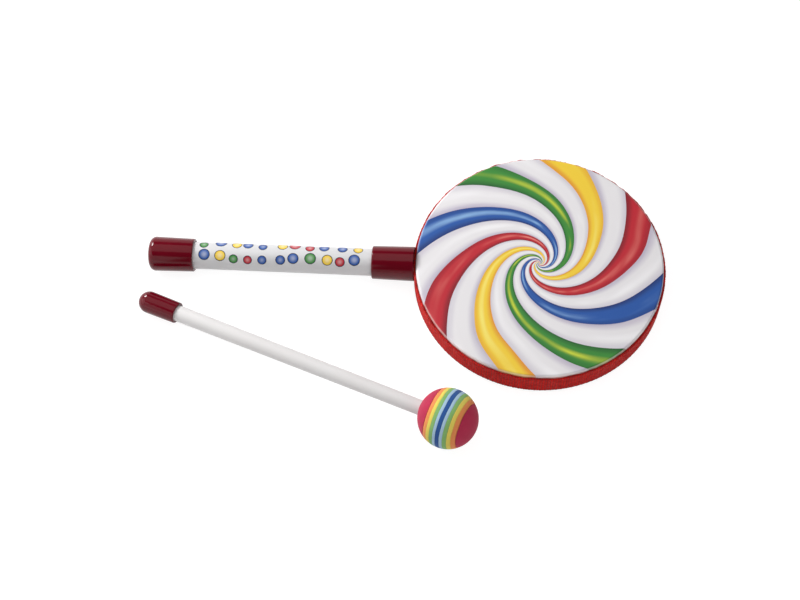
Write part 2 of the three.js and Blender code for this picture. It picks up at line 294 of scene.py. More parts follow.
class Graph:
    """A node tree that grows by expressions."""

    def __init__(self, tree):
        self.tree = tree

    def node(self, kind, settings=None, sockets=None, output=0):
        """Adds a node: its settings first, then the values or links of its sockets."""
        made = self.tree.nodes.new(kind)
        for name, value in (settings or {}).items():
            if name == "stops":
                self.set_stops(made.color_ramp, value)
            else:
                setattr(made, name, value)
        for key, value in (sockets or {}).items():
            self.feed(made.inputs[key], value)
        return Socket(self, made.outputs[output])

    def outputs(self, kind, settings, sockets, *names):
        """Several outputs of one node."""
        made = self.node(kind, settings, sockets).output.node
        return [Socket(self, made.outputs[name]) for name in names]

    def feed(self, target, value):
        """Sets a socket to a value, or links it to another socket or to each of a list of them."""
        if isinstance(value, list):
            for each in value:
                self.feed(target, each)
        elif isinstance(value, Socket):
            self.tree.links.new(value.output, target)
        else:
            target.default_value = value

    def set_stops(self, ramp, stops):
        """Steps of flat colour, each from its own position on."""
        ramp.interpolation = "CONSTANT"
        ramp.elements.remove(ramp.elements[1])
        ramp.elements[0].position, ramp.elements[0].color = stops[0]
        for position, colour in stops[1:]:
            ramp.elements.new(position).color = colour

    def maths(self, operation, *values):
        return self.node("ShaderNodeMath", {"operation": operation}, dict(enumerate(values)))

    def vector_maths(self, operation, *values, output=0):
        return self.node("ShaderNodeVectorMath", {"operation": operation}, dict(enumerate(values)), output)

    def parts(self, vector):
        """The x, y and z of a vector."""
        return self.outputs("ShaderNodeSeparateXYZ", {}, {0: vector}, 0, 1, 2)

    def vector(self, x, y, z):
        return self.node("ShaderNodeCombineXYZ", {}, {0: x, 1: y, 2: z})

    def least(self, first, second):
        return self.maths("MINIMUM", first, second)

    def most(self, first, second):
        return self.maths("MAXIMUM", first, second)

    def ease(self, value, start, end):
        """0 before start, 1 after end, and smooth between them."""
        sockets = {"Value": value, "From Min": start, "From Max": end}
        return self.node("ShaderNodeMapRange", {"interpolation_type": "SMOOTHSTEP"}, sockets)

    def noise(self, vector, scale, detail=2.0, roughness=0.5):
        sockets = {"Vector": vector, "Scale": scale, "Detail": detail, "Roughness": roughness}
        return self.node("ShaderNodeTexNoise", {"noise_dimensions": "3D"}, sockets)

    def lot(self, first, second):
        """A chance value from 0 to 1 for each pair of whole numbers."""
        sockets = {"Vector": self.vector(first, second, 0.0)}
        return self.node("ShaderNodeTexWhiteNoise", {"noise_dimensions": "2D"}, sockets)

    def mix(self, factor, first, second):
        """Blends two colours, whose sockets on a Mix node are told apart by number only."""
        return self.node("ShaderNodeMix", {"data_type": "RGBA"}, {0: factor, 6: first, 7: second}, 2)

    def steps(self, value, colours):
        """One flat colour for each equal step of value from 0 to 1."""
        stops = [(number / len(colours), colour) for number, colour in enumerate(colours)]
        return self.node("ShaderNodeValToRGB", {"stops": stops}, {0: value})


class Finish(Graph):
    """A material of one Principled shader, with its constants set on the sockets themselves."""

    def __init__(self, name, constants):
        self.material = bpy.data.materials.new(name)
        self.material.use_nodes = True
        super().__init__(self.material.node_tree)
        self.shader = self.tree.nodes["Principled BSDF"]
        for socket, value in constants.items():
            self.shader.inputs[socket].default_value = value

    def where(self, origin=(0, 0, 0)):
        """The place on the surface, measured from origin."""
        place = self.node("ShaderNodeTexCoord", {}, {}, "Object")
        return self.vector_maths("SUBTRACT", place, tuple(origin))

    def paint(self, colour):
        self.feed(self.shader.inputs["Base Color"], colour)

    def roughen(self, value):
        self.feed(self.shader.inputs["Roughness"], value)

    def bump(self, height, distance):
        sockets = {"Distance": distance, "Height": height}
        self.feed(self.shader.inputs["Normal"], self.node("ShaderNodeBump", {}, sockets))


class Growth(Graph):
    """A geometry tree with named inputs, and the meshes that it grows."""

    CUT_AWAY = {"operation": "DIFFERENCE", "solver": "EXACT"}
    SOCKET_TYPES = {
        float: "NodeSocketFloat",
        int: "NodeSocketInt",
        Vector: "NodeSocketVector",
        bpy.types.Material: "NodeSocketMaterial",
    }

    def __init__(self, name, **inputs):
        super().__init__(bpy.data.node_groups.new(name, "GeometryNodeTree"))
        face = self.tree.interface
        face.new_socket("Geometry", in_out="INPUT", socket_type="NodeSocketGeometry")
        for label, kind in inputs.items():
            face.new_socket(label, in_out="INPUT", socket_type=self.SOCKET_TYPES[kind])
        face.new_socket("Geometry", in_out="OUTPUT", socket_type="NodeSocketGeometry")
        self.entry = self.tree.nodes.new("NodeGroupInput")

    def given(self, label):
        return Socket(self, self.entry.outputs[label])

    def round_spot(self, turn, radius, height):
        """The place at an angle, a distance and a height from the axis."""
        return self.vector(self.maths("COSINE", turn) * radius, self.maths("SINE", turn) * radius, height)

    def end(self, geometry):
        """Realizes the instances, sets the material and closes the tree."""
        real = self.node("GeometryNodeRealizeInstances", {}, {0: geometry})
        sockets = {"Geometry": real, "Material": self.given("material")}
        finished = self.node("GeometryNodeSetMaterial", {}, sockets)
        leave = self.tree.nodes.new("NodeGroupOutput")
        self.feed(leave.inputs[0], finished)

    def grow(self, name, place, values, start=None):
        """Runs the tree on an object and leaves its result as a plain mesh, moved to its place."""
        grown = add_object(name, start or bpy.data.meshes.new(name))
        modifier = grown.modifiers.new("growth", "NODES")
        modifier.node_group = self.tree
        for item in self.tree.interface.items_tree:
            if item.in_out == "INPUT" and item.name in values:
                modifier[item.identifier] = values[item.name]
        depsgraph = bpy.context.evaluated_depsgraph_get()
        mesh = bpy.data.meshes.new_from_object(grown.evaluated_get(depsgraph))
        grown.modifiers.remove(modifier)
        grown.data = mesh
        mesh.name = name
        mesh.transform(place)
        smooth(mesh)
        return grown


# Mesh helpers

def add_object(name, data):
    """A new object in the scene, at the origin."""
    made = bpy.data.objects.new(name, data)
    bpy.context.scene.collection.objects.link(made)
    return made


def smooth(mesh):
    mesh.polygons.foreach_set("use_smooth", [True] * len(mesh.polygons))
    mesh.set_sharp_from_angle(angle=SHARP_ANGLE)


def arc(centre_radius, centre_height, radius, start, end, steps=ARC_STEPS):
    """Points of a round stretch of a profile, with its angles in degrees from the outward direction."""
    angles = [math.radians(start + (end - start) * step / steps) for step in range(steps + 1)]
    return [
        (centre_radius + radius * math.cos(angle), centre_height + radius * math.sin(angle))
        for angle in angles
    ]


def pipe_profile(pipe, ease):
    """A tube with eased edges, as wide at each end as its solid."""
    return [
        (pipe.inner, pipe.low + ease), (pipe.inner + ease, pipe.low),
        (pipe.low_outer - ease, pipe.low), (pipe.low_outer, pipe.low + ease),
        (pipe.high_outer, pipe.high - ease), (pipe.high_outer - ease, pipe.high),
        (pipe.inner + ease, pipe.high), (pipe.inner, pipe.high - ease),
    ]


def turned(name, profile, place, finishes, sides=FINE_SIDES, shift=None, backs=0):
    """Turns a profile of (radius, height) points, which runs up the outside, about Z.

    It starts and ends on the axis, or else closes on itself. shift moves the points of each ring, and
    the first backs stretches of the profile take the second finish.
    """
    on_axis = [radius < ON_AXIS for radius, _ in profile]
    closed = not on_axis[0]
    turns = np.arange(sides) / sides * TAU
    corners = []
    rings = []
    for (radius, height), single in zip(profile, on_axis):
        rings.append(len(corners))
        if single:
            corners.append((0.0, 0.0, height))
            continue
        radii = np.full(sides, radius)
        heights = np.full(sides, height)
        if shift:
            radii, heights = shift(radii, heights, turns)
        corners.extend(zip(radii * np.cos(turns), radii * np.sin(turns), heights))
    faces = []
    face_finish = []
    stretches = len(profile) if closed else len(profile) - 1
    for low in range(stretches):
        high = (low + 1) % len(profile)
        for side in range(sides):
            after = (side + 1) % sides
            if on_axis[low]:
                face = (rings[low], rings[high] + after, rings[high] + side)
            elif on_axis[high]:
                face = (rings[low] + side, rings[low] + after, rings[high])
            else:
                face = (rings[low] + side, rings[low] + after, rings[high] + after, rings[high] + side)
            faces.append(face)
            face_finish.append(1 if low < backs else 0)
    mesh = bpy.data.meshes.new(name)
    mesh.from_pydata([tuple(map(float, corner)) for corner in corners], [], faces)
    for finish in finishes:
        mesh.materials.append(finish.material)
    mesh.polygons.foreach_set("material_index", face_finish)
    mesh.transform(place)
    smooth(mesh)
    return add_object(name, mesh)


def settle(piece, body, slot, *nodes):
    """Puts a finished piece on its body, in place of its solids."""
    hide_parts(*nodes)
    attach(piece, body)


# Finishes

# Each candy's own colour, its shade and its light
CANDY = {
    "white": (srgb(236, 233, 235), srgb(186, 176, 196), srgb(250, 248, 250)),
    "red": (srgb(193, 30, 46), srgb(112, 12, 30), srgb(238, 146, 132)),
    "yellow": (srgb(246, 208, 58), srgb(226, 138, 42), srgb(252, 234, 120)),
    "green": (srgb(58, 138, 54), srgb(24, 84, 40), srgb(214, 222, 62)),
    "blue": (srgb(34, 86, 166), srgb(22, 40, 98), srgb(150, 192, 232)),
}
SWIRL_DYES = ("red", "yellow", "green", "blue")
SWIRL_PAIRS = 8
SWIRL_TWIST = 1.28
SWIRL_HAND = 0.22
WHITE_SHARE = 0.55
NEAR_SHADE = 0.30
FAR_SHADE = 0.66
GLOSS_MIDDLE = 0.40
GLOSS_REACH = 0.24
# Over the film's bend: pale bare film where the print thins, brightened as a painted highlight with a pink
# painted red bounce from the webbing
FILM_MARGIN_HIGHLIGHT = srgb(255, 236, 230)
# Painted shade with painted red bounce from the webbing, low on the film's bend
FILM_GROOVE_SHADE = srgb(216, 118, 106)
FILM_PALE_BEND_FROM = 0.2 * MM
FILM_PALE_BEND_TO = 1.2 * MM
FILM_GROOVE_FROM = 2.8 * MM
FILM_GROOVE_TO = 3.8 * MM
BOARD_LAYER = 0.8 * MM
WEB_TOP_SHADE = 0.8 * MM
WEB_LOW_SHADE_FROM = 0.6 * MM
WEB_LOW_SHADE_TO = 3.4 * MM


def printed_film():
    """A swirl of puffed candy arms, white ones between coloured ones, painted with soft shades on film."""
    film = Finish("printed_film", {"IOR": 1.45})
    here = film.where(DRUM.start)
    x, y, z = film.parts(here)
    radius = film.maths("SQRT", x * x + y * y) / HEAD.outer
    along = film.maths("LOGARITHM", film.most(radius, 0.01), math.e)
    turn = film.maths("ARCTAN2", y, x) / TAU
    hand = film.noise(here, 17.0, 0.0) - 0.5
    pairs = (turn - along * (SWIRL_TWIST / TAU)) * SWIRL_PAIRS + hand * SWIRL_HAND
    number = film.maths("FLOOR", pairs)
    share = pairs - number
    dyed = share > WHITE_SHARE
    across = (share - dyed * WHITE_SHARE) / (dyed * (1 - 2 * WHITE_SHARE) + WHITE_SHARE)
    choice = (number % len(SWIRL_DYES) + 0.5) / len(SWIRL_DYES)

    def arms(tone):
        dyes = film.steps(choice, [CANDY[name][tone] for name in SWIRL_DYES])
        return film.mix(dyed, CANDY["white"][tone], dyes)

    body, shade, light = map(arms, range(3))
    arm = (number % SWIRL_PAIRS) * 2 + dyed
    brush = film.noise(film.vector(across * 2.2, along * 1.6, arm * 3.7), 2.0, 4.0, 0.62)
    cloud = film.noise(film.vector(across * 0.6, along * 1.1, arm * 7.3), 1.6, 2.0)
    near_edge = 1 - film.ease(across, 0.0, NEAR_SHADE)
    far_edge = film.ease(across, FAR_SHADE, 1.0)
    shadow = (near_edge * 0.5 + far_edge * 0.9) * (brush * 0.9 + 0.45)
    ridge = film.ease(GLOSS_REACH - abs(across - GLOSS_MIDDLE), 0.0, GLOSS_REACH)
    gloss = ridge * film.ease(cloud, 0.38, 0.66)
    colour = film.mix(film.least(shadow, 1.0), body, shade)
    colour = film.mix(film.least(gloss * (brush * 1.1 + 0.25), 1.0), colour, light)
    drop = HEAD.high - z
    # Painted highlight over pale bare film on the upper bend, patchy, with a pink tint of painted red bounce
    # from the webbing
    worn_highlight = film.noise(here, 190.0, 3.0) * 0.7 + 0.3
    bent = film.ease(drop, FILM_PALE_BEND_FROM, FILM_PALE_BEND_TO)
    colour = film.mix(bent * worn_highlight * 0.6, colour, FILM_MARGIN_HIGHLIGHT)
    # Painted shade and painted red bounce from the webbing, where the film goes down behind it
    groove = film.ease(drop, FILM_GROOVE_FROM, FILM_GROOVE_TO)
    film.paint(film.mix(groove * 0.6, colour, FILM_GROOVE_SHADE))
    film.roughen(film.noise(here, 300.0, 3.0) * 0.12 + 0.50 - bent * 0.34)
    film.bump(film.noise(here, 1400.0, 2.0), 0.02 * MM)
    return film


def film_back():
    """The milky underside of the film, where the drum is open behind."""
    back = Finish("film_back", {"IOR": 1.45})
    here = back.where()
    cloud = back.noise(here, 40.0, 3.0)
    back.paint(back.mix(cloud, srgb(226, 221, 214), srgb(240, 238, 234)))
    back.roughen(back.noise(here, 220.0, 2.0) * 0.15 + 0.42)
    back.bump(back.noise(here, 1100.0, 2.0), 0.03 * MM)
    return back


def fibreboard():
    """Wound board: thin brown layers at the edges, and a felted face."""
    board = Finish("fibreboard", {"IOR": 1.4})
    here = board.where(DRUM.start)
    x, y, z = board.parts(here)
    radius = board.maths("SQRT", x * x + y * y)
    layer = board.maths("SINE", radius * (TAU / BOARD_LAYER))
    felt = board.noise(here, 420.0, 5.0, 0.65)
    stain = board.noise(here, 28.0, 3.0)
    colour = board.mix(felt, srgb(134, 98, 66), srgb(176, 138, 98))
    colour = board.mix(stain * 0.35, colour, srgb(112, 80, 54))
    colour = board.mix(board.ease(layer, 0.1, 0.9) * 0.4, colour, srgb(98, 68, 44))
    board.paint(colour)
    board.roughen(felt * 0.2 + 0.7)
    board.bump(felt, 0.12 * MM)
    return board


def red_webbing():
    """Woven polyester: painted shade between its floats and along its edges, its ribs and floats uneven in
    tone, with fine fibres.
    """
    web = Finish("red_webbing", {"IOR": 1.32, "Sheen Weight": 0.1, "Sheen Roughness": 0.3})
    here = web.where(DRUM.start)
    x, y, z = web.parts(here)
    angle = web.maths("ARCTAN2", y, x)
    bend = angle * BAND_RADIUS
    flat = web.vector(bend, z, 0.0)
    column = ((angle - BAND_START) % TAU) * (WEAVE_COLUMNS / BAND_SWEEP)
    rib = web.maths("FLOOR", column)
    rows_per_metre = (WEAVE_ROWS + WEAVE_STAGGER) / (BAND_HIGH - BAND_LOW)
    row = (z - BAND_LOW) * rows_per_metre - 0.5 - (rib % 2) * WEAVE_STAGGER
    pick = web.maths("FLOOR", row + 0.5)
    off_row = row - pick
    off_column = column - rib - 0.5
    gap_shade = web.ease(off_row * off_row * 0.45 + off_column * off_column, 0.06, 0.24)
    yarn = web.noise(flat, 340.0, 3.0, 0.7)
    fibre = web.noise(web.vector(bend * 0.35, z * 5.0, 0.0), 1500.0, 2.0)
    patch = web.noise(flat, 22.0, 2.0)
    rib_tone = web.lot(rib, 0.0)
    float_tone = web.lot(rib, pick)
    colour = web.mix(yarn, srgb(224, 25, 20), srgb(245, 44, 30))
    colour = web.mix(patch * 0.2, colour, srgb(176, 14, 16))
    colour = web.mix(rib_tone * 0.16 + float_tone * 0.48, colour, srgb(150, 8, 14))
    colour = web.mix(web.ease(fibre, 0.62, 0.8) * 0.22, colour, srgb(240, 92, 72))
    # Painted shade in the gaps between the floats
    colour = web.mix(gap_shade * 0.45, colour, srgb(112, 4, 10))
    # Darker along the top and bottom edges: partly darker edge yarn, partly painted shade under the film's
    # edge and down near the floor
    top_edge_shade = web.ease(z, BAND_HIGH - WEB_TOP_SHADE, BAND_HIGH) * 0.3
    above = web.ease(z, BAND_LOW + WEB_LOW_SHADE_FROM, BAND_LOW + WEB_LOW_SHADE_TO)
    low_edge_shade = (1 - above) * 0.6
    web.paint(web.mix(web.most(top_edge_shade, low_edge_shade), colour, srgb(104, 5, 12)))
    web.roughen(fibre * 0.25 + 0.55)
    web.bump(fibre, 0.06 * MM)
    return web


def satin_plastic(name, tint):
    """White extruded plastic, with a faint haze and a fine grain."""
    plastic = Finish(name, {"IOR": 1.46})
    here = plastic.where()
    haze = plastic.noise(here, 18.0, 3.0)
    speck = plastic.noise(here, 900.0, 2.0)
    plastic.paint(plastic.mix(haze * 0.6, tint, srgb(232, 232, 232)))
    plastic.roughen(haze * 0.14 + 0.30)
    plastic.bump(speck, 0.015 * MM)
    return plastic


DOT_DYES = ("blue", "red", "green", "blue", "yellow")
DOT_PITCH = 16 * MM
DOT_RADIUS = 0.29
DOT_SPREAD = 0.10
DOT_STRAY = 0.3
DOT_OUTLINE = 0.05
DOT_SHIFT = 10 * MM
DOT_FROM = math.radians(-60)
DOT_TO = math.radians(100)
DOT_MARGIN = 9 * MM


def dotted_tube():
    """The handle's white tube, with a band of outlined candy dots along its upper side."""
    tube = satin_plastic("dotted_tube", srgb(216, 215, 217))
    x, y, z = tube.parts(tube.where(HANDLE.start))
    angle = tube.maths("ARCTAN2", y, z)
    flat = tube.vector(x, angle * TUBE.outer + DOT_SHIFT, 0.0)
    settings = {"voronoi_dimensions": "2D", "feature": "F1"}
    cells = {"Vector": flat, "Scale": 1 / DOT_PITCH, "Randomness": DOT_STRAY}
    distance, lot, middle = tube.outputs(
        "ShaderNodeTexVoronoi", settings, cells, "Distance", "Color", "Position")
    first, second, _ = tube.parts(lot)
    dot_x, dot_bend, _ = tube.parts(middle)
    size = (second - 0.5) * DOT_SPREAD + DOT_RADIUS
    ragged = distance + (tube.noise(flat, 700.0, 2.0) - 0.5) * 0.03
    near = HANDLE.extents("front_cap").high + DOT_MARGIN
    far = HANDLE.extents("rear_cap").low - DOT_MARGIN
    dot_angle = (dot_bend - DOT_SHIFT) / TUBE.outer
    kept = (dot_angle > DOT_FROM) * (dot_angle < DOT_TO)
    kept = kept * (dot_x < -near) * (dot_x > -far)
    ink = tube.steps(first, [CANDY[name][0] for name in DOT_DYES])
    white = tube.shader.inputs["Base Color"].links[0].from_socket
    colour = tube.mix((ragged < size + DOT_OUTLINE) * kept, Socket(tube, white), srgb(30, 30, 58))
    shine = tube.ease(size - ragged, 0.0, 0.3) * 0.35
    colour = tube.mix((ragged < size) * kept, colour, tube.mix(shine, ink, srgb(250, 250, 250)))
    tube.paint(colour)
    return tube


def red_vinyl():
    """Dipped vinyl: deep red and glossy, with a faint orange peel."""
    vinyl = Finish("red_vinyl", {"IOR": 1.46, "Specular IOR Level": 0.32})
    here = vinyl.where()
    depth = vinyl.noise(here, 30.0, 2.0)
    peel = vinyl.noise(here, 260.0, 2.0)
    vinyl.paint(vinyl.mix(depth, srgb(96, 1, 19), srgb(108, 3, 24)))
    vinyl.roughen(depth * 0.06 + 0.11)
    vinyl.bump(peel, 0.004 * MM)
    return vinyl


def dowel_wood():
    """Pale turned wood, with its grain along the handle."""
    wood = Finish("dowel_wood", {"IOR": 1.4})
    here = wood.where(HANDLE.start)
    x, y, z = wood.parts(here)
    grain = wood.noise(wood.vector(x * 0.06, y, z), 520.0, 5.0, 0.6)
    wood.paint(wood.mix(grain, srgb(166, 122, 76), srgb(216, 178, 128)))
    wood.roughen(grain * 0.2 + 0.5)
    wood.bump(grain, 0.08 * MM)
    return wood


def plated_steel():
    """Bright plating, dulled by fine scuffs."""
    steel = Finish("plated_steel", {"Metallic": 1.0})
    here = steel.where()
    scuff = steel.noise(here, 900.0, 4.0)
    steel.paint(steel.mix(scuff, srgb(176, 174, 168), srgb(208, 206, 200)))
    steel.roughen(scuff * 0.25 + 0.2)
    steel.bump(scuff, 0.02 * MM)
    return steel


def foam(name, colour, deep):
    """Closed-cell foam: matt, with fine pores shown by bumps and painted shade, and a slightly uneven dye."""
    sponge = Finish(name, {"IOR": 1.35, "Sheen Weight": 0.10, "Sheen Roughness": 0.6})
    here = sponge.where(SHEETS.start)
    dye = sponge.noise(here, 120.0, 3.0)
    pores = sponge.noise(here, 1500.0, 3.0, 0.6)
    pits = sponge.ease(pores, 0.66, 0.78)
    tone = sponge.mix(dye * 0.6, colour, deep)
    # Painted shade in the pores
    sponge.paint(sponge.mix(pits * 0.5, tone, deep))
    sponge.roughen(pores * 0.15 + 0.75)
    sponge.bump(pores - pits * 0.6, 0.10 * MM)
    return sponge


# Pieces of the drum

def make_shell(board):
    """The hoop that everything on the drum is fixed to."""
    hoop = DRUM.extents("shell_hoop")
    ease = HOOP_EASE
    bearing = hoop.high - HOOP_BEARING_DROP
    profile = [(hoop.inner, hoop.low + ease), (hoop.inner + ease, hoop.low)]
    profile += [(hoop.outer - ease, hoop.low), (hoop.outer, hoop.low + ease)]
    profile += arc(hoop.outer - HOOP_EDGE, hoop.high - HOOP_EDGE, HOOP_EDGE, 0, 90)
    profile += [(hoop.inner + ease, bearing), (hoop.inner, bearing - ease)]
    piece = turned("shell_board", profile, DRUM.place(), [board], RIM_SIDES)
    settle(piece, "drum", "fibreboard", "shell_hoop")


def pucker(radii, heights, turns):
    """Small gathers where the film is drawn over the edge; its flat face stays flat."""
    bend_start = HEAD.outer - FILM_BEND
    depth = np.clip((radii - bend_start) / FILM_BEND, 0, 1) ** 2
    ripple = np.sin(turns * FILM_PUCKERS) + 0.8 * np.sin(turns * FILM_FINE_PUCKERS + 1.3)
    slow = 0.6 + 0.4 * np.sin(turns * 5 + 0.7)
    return radii + FILM_PUCKER * depth * (ripple * slow - 1) / 2, heights


def make_head(film, back):
    """The printed film: flat on top, round over the edge and down inside the webbing."""
    top = HEAD.high
    bend = FILM_BEND
    inner_bend = bend - FILM_THICKNESS
    centre = HEAD.outer - bend
    underside = [(0.0, top - FILM_THICKNESS), (centre * FILM_BACK_RING, top - FILM_THICKNESS)]
    inside = arc(centre, top - bend, inner_bend, 90, 0)
    inside.append((centre + inner_bend, HEAD.low))
    outside = [(HEAD.outer, HEAD.low)] + arc(centre, top - bend, bend, 0, 90)
    face = [(centre * share, top) for share in FILM_FACE_RINGS] + [(0.0, top)]
    backs = len(underside) + len(inside) - 1
    profile = underside + inside + outside + face
    piece = turned("head_film", profile, DRUM.place(), [film, back], RIM_SIDES, pucker, backs)
    settle(piece, "drum", "printed_film", "drum_head")


def weave_growth():
    """A band on a round path, with rows of woven floats over it and loops along both edges.

    Its upper edge sways up and down a little, and its lower edge stays level.
    """
    weave = Growth(
        "webbing_weave", radius=float, low=float, high=float, thickness=float, height=float,
        columns=int, rows=int, start=float, sweep=float, sway=float, sway_scale=float,
        pitch_fill=float, material=bpy.types.Material)
    radius, low, high, thickness = map(weave.given, ("radius", "low", "high", "thickness"))
    start, sweep = map(weave.given, ("start", "sweep"))
    columns, rows = map(weave.given, ("columns", "rows"))
    height, fill = map(weave.given, ("height", "pitch_fill"))

    path = weave.node(
        "GeometryNodeCurveArc", {"mode": "RADIUS"},
        {"Resolution": columns, "Radius": radius - thickness / 2,
         "Start Angle": start, "Sweep Angle": sweep})
    section = weave.node(
        "GeometryNodeCurvePrimitiveQuadrilateral", {"mode": "RECTANGLE"},
        {"Width": thickness, "Height": high - low})
    section = weave.node(
        "GeometryNodeFilletCurve", {"mode": "POLY"},
        {"Curve": section, "Radius": thickness * EDGE_ROUND, "Count": EDGE_ROUND_STEPS})
    band = weave.node(
        "GeometryNodeCurveToMesh", {}, {"Curve": path, "Profile Curve": section, "Fill Caps": True})
    band = weave.node(
        "GeometryNodeTransform", {},
        {"Geometry": band, "Translation": weave.vector(0.0, 0.0, (low + high) / 2)})

    row_pitch = (high - low) / (rows + WEAVE_STAGGER)
    column_pitch = sweep / columns
    index = weave.node("GeometryNodeInputIndex")
    row = weave.maths("FLOOR", index / columns)
    column = index % columns
    turn = start + (column + 0.5) * column_pitch
    lift = low + (row + 0.5 + (column % 2) * WEAVE_STAGGER) * row_pitch
    spot = weave.round_spot(turn, radius, lift)
    points = weave.node("GeometryNodePoints", {}, {"Count": columns * rows, "Position": spot})
    float_size = weave.vector(height, column_pitch * radius * 0.5 * fill, row_pitch * 0.5 * fill)
    floats = woven_copies(weave, points, turn, float_size)

    edge_columns = columns * LOOPS_PER_COLUMN
    edge_pitch = sweep / edge_columns
    edge_turn = start + (index % edge_columns + 0.5) * edge_pitch
    edge_lift = low + (high - low) * weave.maths("FLOOR", index / edge_columns)
    edge_spot = weave.round_spot(edge_turn, radius - thickness * EDGE_ROUND, edge_lift)
    edge_points = weave.node("GeometryNodePoints", {}, {"Count": edge_columns * 2, "Position": edge_spot})
    loop_size = weave.vector(
        thickness * LOOP_DEPTH, edge_pitch * radius * LOOP_LENGTH, height * LOOP_HEIGHT)
    loops = woven_copies(weave, edge_points, edge_turn, loop_size)

    whole = weave.node("GeometryNodeJoinGeometry", {}, {0: [band, floats, loops]})
    real = weave.node("GeometryNodeRealizeInstances", {}, {0: whole})
    place = weave.node("GeometryNodeInputPosition")
    _, _, level = weave.parts(place)
    drift = weave.noise(place, weave.given("sway_scale"), 1.0) - WEB_SWAY_LEVEL
    upper = weave.ease(level, low, high)
    offset = weave.vector(0.0, 0.0, drift * weave.given("sway") * upper)
    weave.end(weave.node("GeometryNodeSetPosition", {}, {"Geometry": real, "Offset": offset}))
    return weave


def woven_copies(weave, points, turn, size):
    """One small rounded bead on each point, stretched to size and turned to face outwards."""
    bead = weave.node("GeometryNodeMeshIcoSphere", {}, {"Radius": 1.0, "Subdivisions": 1})
    facing = weave.node("FunctionNodeEulerToRotation", {}, {0: weave.vector(0.0, 0.0, turn)})
    sockets = {"Points": points, "Instance": bead, "Rotation": facing, "Scale": size}
    return weave.node("GeometryNodeInstanceOnPoints", {}, sockets)


def make_webbing(cloth):
    """The red webbing, whose ends meet behind the handle."""
    values = {
        "radius": BAND_RADIUS,
        "low": BAND_LOW,
        "high": BAND_HIGH,
        "thickness": BAND_RADIUS - WEB.inner,
        "height": FLOAT_HEIGHT,
        "columns": WEAVE_COLUMNS,
        "rows": WEAVE_ROWS,
        "start": BAND_START,
        "sweep": BAND_SWEEP,
        "sway": WEB_SWAY,
        "sway_scale": float(WEB_SWAY_SCALE),
        "pitch_fill": WEAVE_PITCH_FILL,
        "material": cloth.material,
    }
    piece = weave_growth().grow("rim_band", DRUM.place(), values)
    settle(piece, "drum", "red_webbing", "rim_webbing")


def make_tube(plastic):
    """The handle's tube."""
    piece = turned("tube", pipe_profile(TUBE, TUBE_EASE), HANDLE.place(), [plastic])
    settle(piece, "drum", "white_plastic", "handle_tube")


def cap_profile(mouth, end, floor, mouth_outer, outer, bore, corner):
    """A pushed-on cap: a round lip at its mouth, a slight taper, and a round corner at its closed end."""
    way = 1 if end > mouth else -1
    lip = (mouth_outer - bore) / 2
    lip_arc = arc(bore + lip, 0.0, lip, -180, 0, CAP_LIP_STEPS)
    corner_arc = arc(outer - corner, 0.0, corner, 0, 90, CAP_CORNER_STEPS)
    profile = [(0.0, floor), (bore, floor)]
    profile += [(radius, mouth + way * (lip + rise)) for radius, rise in lip_arc]
    profile += [(radius, end - way * (corner - rise)) for radius, rise in corner_arc]
    profile += [((outer - corner) * share, end) for share in CAP_FACE_RINGS]
    profile.append((0.0, end))
    return profile if way > 0 else profile[::-1]


def seat_on_rim(mesh, reach):
    """Hollows the front cap's closed end to the rim's curve, which it is pulled against."""
    for vertex in mesh.vertices:
        across = vertex.co.y - HANDLE.start.y
        vertex.co.x = min(vertex.co.x, DRUM.start.x - math.sqrt(reach ** 2 - across ** 2))
    smooth(mesh)


def make_caps(vinyl):
    """The caps at both ends of the handle."""
    bore = TUBE.outer + CAP_FIT
    front = HANDLE.extents("front_cap")
    rim = WEB.outer + CAP_FIT
    sides = math.sqrt(rim ** 2 - front.low_outer ** 2)
    near = cap_profile(
        front.high, sides, TUBE.low - CAP_FIT, front.high_outer, front.low_outer, bore, FRONT_CAP_CORNER)
    near_piece = turned("front_cap_vinyl", near, HANDLE.place(), [vinyl])
    seat_on_rim(near_piece.data, rim)
    settle(near_piece, "drum", "red_vinyl", "front_cap")
    rear = HANDLE.extents("rear_cap")
    far = cap_profile(
        rear.low, rear.high, TUBE.high + CAP_FIT, rear.low_outer, rear.high_outer, bore, REAR_CAP_CORNER)
    far_piece = turned("rear_cap_vinyl", far, HANDLE.place(), [vinyl])
    settle(far_piece, "drum", "red_vinyl", "rear_cap")


def screw_growth():
    """Cuts the cross recess into a turned screw and sets copies of it side by side."""
    driver = Growth(
        "screw_row", recess_length=float, recess_width=float, recess_depth=float,
        spacing=float, material=bpy.types.Material)
    length = driver.given("recess_length")
    width = driver.given("recess_width")
    depth = driver.given("recess_depth") * 2
    bars = [
        driver.node("GeometryNodeMeshCube", {}, {"Size": driver.vector(along, across, depth)})
        for along, across in ((length, width), (width, length))
    ]
    cut = driver.node("GeometryNodeMeshBoolean", driver.CUT_AWAY, {0: driver.given("Geometry"), 1: bars})
    spacing = driver.given("spacing")
    row = driver.node(
        "GeometryNodeMeshLine", {},
        {"Count": 2, "Start Location": driver.vector(0.0, spacing * -0.5, 0.0),
         "Offset": driver.vector(0.0, spacing, 0.0)})
    driver.end(driver.node("GeometryNodeInstanceOnPoints", {}, {"Points": row, "Instance": cut}))
    return driver


